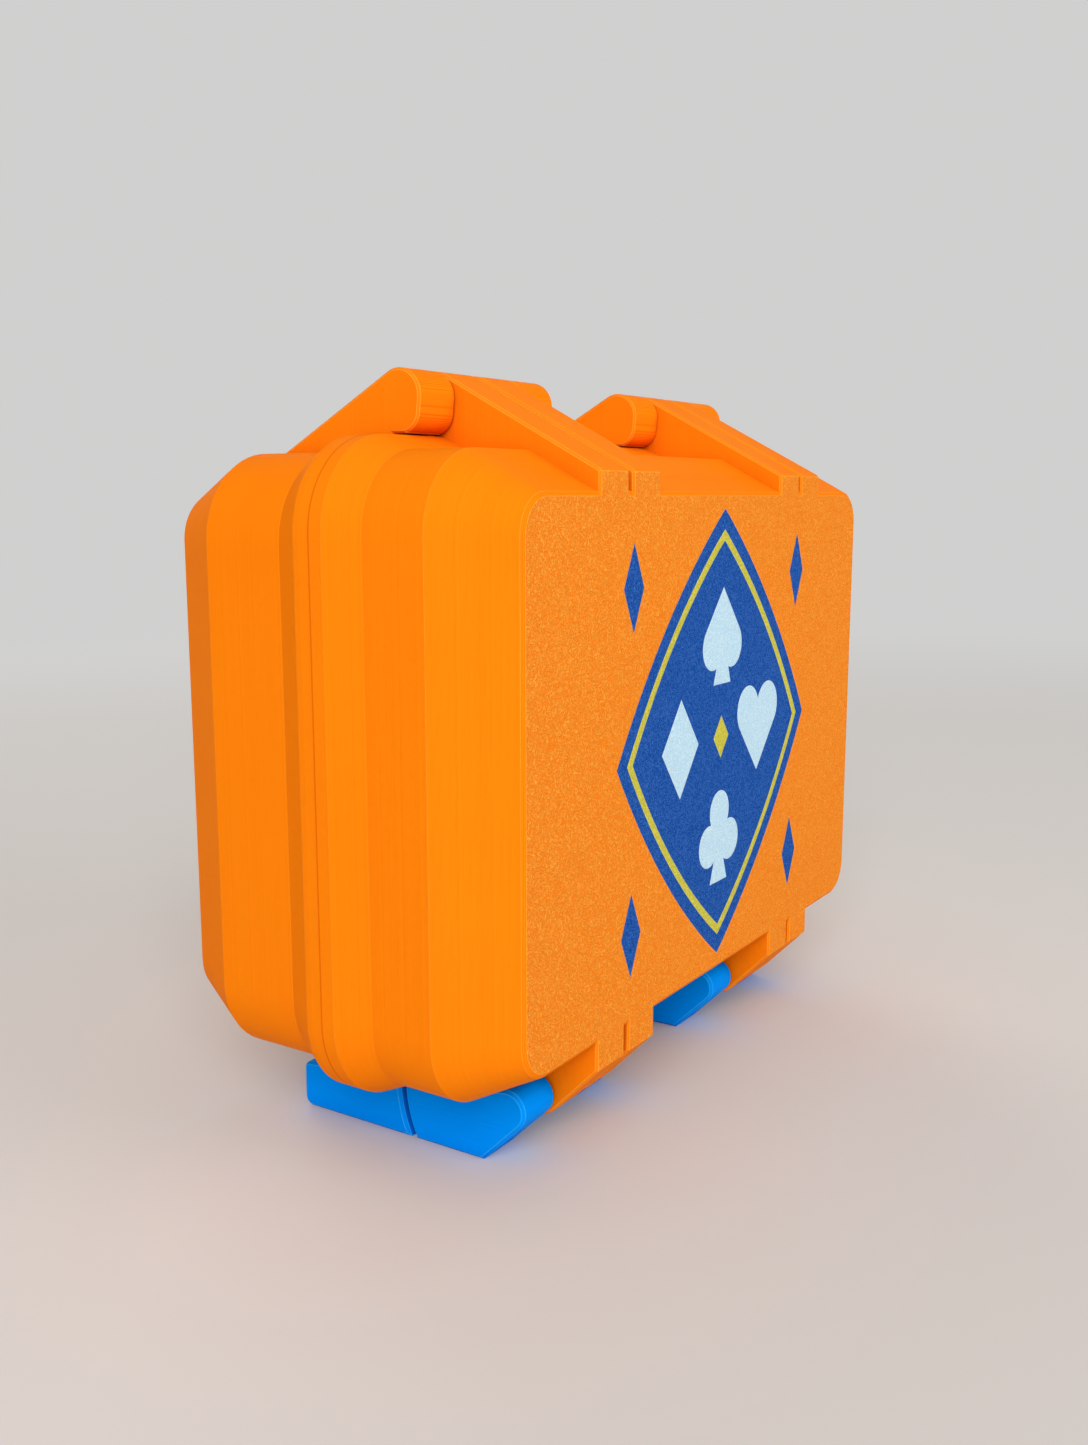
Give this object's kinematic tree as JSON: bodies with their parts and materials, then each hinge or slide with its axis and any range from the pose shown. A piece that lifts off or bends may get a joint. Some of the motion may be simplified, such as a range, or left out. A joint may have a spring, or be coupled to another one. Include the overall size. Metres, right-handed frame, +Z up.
{
  "type": "card game organizer",
  "caption": "Hinged clamshell case for a card game that stands on its latches, with card and token bays and an inlaid emblem",
  "frame": {"origin": "under the middle of the case on the surface that it stands on: the middle of its width and depth, level with the latches' flat undersides", "axes": "+X along the width, to the right as seen from the front; +Y from the emblem's face to the back; +Z up, from the latches to the hinge"},
  "size_m": [0.143, 0.066, 0.124],
  "materials": {
    "orange_shell": "printed orange plastic, satin sides and a finely pebbled face",
    "insert": "printed orange plastic",
    "latch_blue": "printed bright blue plastic, satin",
    "badge_blue": "printed deep blue plastic, finely pebbled",
    "badge_yellow": "printed yellow plastic, finely pebbled",
    "badge_white": "printed white plastic, finely pebbled",
    "steel_pin": "plain steel rod",
    "seal": "soft black ring"
  },
  "bodies": {
    "front_half": {"front_shell": "orange_shell", "rim_seal": "seal", "front_card_bed": "insert", "badge_field": "badge_blue", "badge_line": "badge_yellow", "badge_pips": "badge_white", "hinge_pin_left": "steel_pin", "hinge_pin_right": "steel_pin", "latch_base_pin_left": "steel_pin", "latch_base_pin_right": "steel_pin"},
    "back_half": {"back_shell": "orange_shell", "back_token_bed": "insert", "strike_pin_left": "steel_pin", "strike_pin_right": "steel_pin"},
    "left_latch_base": {"latch_base_left": "latch_blue", "latch_handle_pin_left": "steel_pin"},
    "left_latch_handle": {"latch_handle_left": "latch_blue"},
    "right_latch_base": {"latch_base_right": "latch_blue", "latch_handle_pin_right": "steel_pin"},
    "right_latch_handle": {"latch_handle_right": "latch_blue"}
  },
  "joints": [
    {"name": "lid_hinge", "type": "hinge", "parent": "front_half", "child": "back_half", "pos_m": [0, -0.00265, 0.1198], "axis": [1, 0, 0], "range_deg": [0, 180]},
    {"name": "left_latch_swing", "type": "hinge", "parent": "front_half", "child": "left_latch_base", "pos_m": [-0.03305, -0.0219, 0.0094], "axis": [-1, 0, 0], "range_deg": [0, 110]},
    {"name": "left_handle_lift", "type": "hinge", "parent": "left_latch_base", "child": "left_latch_handle", "pos_m": [-0.03305, -0.0142, 0.0094], "axis": [-1, 0, 0], "range_deg": [0, 20]},
    {"name": "right_latch_swing", "type": "hinge", "parent": "front_half", "child": "right_latch_base", "pos_m": [0.03305, -0.0219, 0.0094], "axis": [-1, 0, 0], "range_deg": [0, 110]},
    {"name": "right_handle_lift", "type": "hinge", "parent": "right_latch_base", "child": "right_latch_handle", "pos_m": [0.03305, -0.0142, 0.0094], "axis": [-1, 0, 0], "range_deg": [0, 20]}
  ]
}
